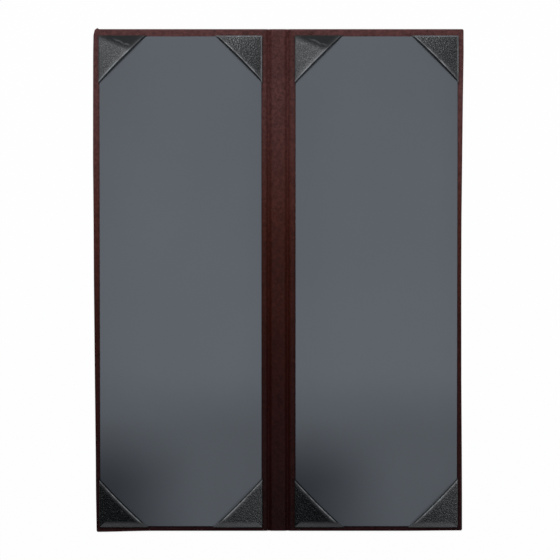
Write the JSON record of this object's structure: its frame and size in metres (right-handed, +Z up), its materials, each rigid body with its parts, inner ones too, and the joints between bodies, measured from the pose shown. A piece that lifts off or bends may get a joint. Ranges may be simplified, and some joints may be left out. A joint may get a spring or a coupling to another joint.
{
  "type": "menu cover",
  "caption": "Tall narrow two-page menu cover: two burgundy leatherette leaves on a grooved spine, each with a charcoal panel and black corner tabs that hold a printed sheet.",
  "frame": {"origin": "middle of the spine's outer face, on the surface that the open cover lies on", "axes": "+X across the spine towards the back leaf's fore edge, +Y towards the head of the menu, +Z up, out of the inner faces"},
  "size_m": [0.2764, 0.3778, 0.0068],
  "materials": {
    "burgundy_leatherette": "satin",
    "black_leatherette": "satin",
    "charcoal_liner": "satin",
    "grey_board": "matte",
    "panel_card": "matte",
    "infill_paper": "matte",
    "adhesive": "matte"
  },
  "bodies": {
    "front_cover": {"front_board": "grey_board", "front_infill": "infill_paper", "front_panel_adhesive": "adhesive", "front_panel_card": "panel_card", "front_panel_liner": "charcoal_liner", "front_cover_skin": "burgundy_leatherette", "front_lining": "burgundy_leatherette", "front_tab_head_outer": "black_leatherette", "front_tab_head_spine": "black_leatherette", "front_tab_tail_outer": "black_leatherette", "front_tab_tail_spine": "black_leatherette"},
    "back_cover": {"back_board": "grey_board", "back_infill": "infill_paper", "back_panel_adhesive": "adhesive", "back_panel_card": "panel_card", "back_panel_liner": "charcoal_liner", "back_cover_skin": "burgundy_leatherette", "back_lining": "burgundy_leatherette", "back_tab_head_outer": "black_leatherette", "back_tab_head_spine": "black_leatherette", "back_tab_tail_outer": "black_leatherette", "back_tab_tail_spine": "black_leatherette"},
    "spine": {"spine_stiffener": "grey_board", "spine_cover_skin": "burgundy_leatherette", "spine_lining": "burgundy_leatherette"}
  },
  "joints": [
    {"name": "back_hinge", "type": "hinge", "parent": "back_cover", "child": "spine", "pos_m": [0.00705, 0, 0.00145], "axis": [0, 1, 0], "range_deg": [0, 90]},
    {"name": "front_hinge", "type": "hinge", "parent": "spine", "child": "front_cover", "pos_m": [-0.00705, 0, 0.00145], "axis": [0, 1, 0], "range_deg": [0, 90]}
  ]
}
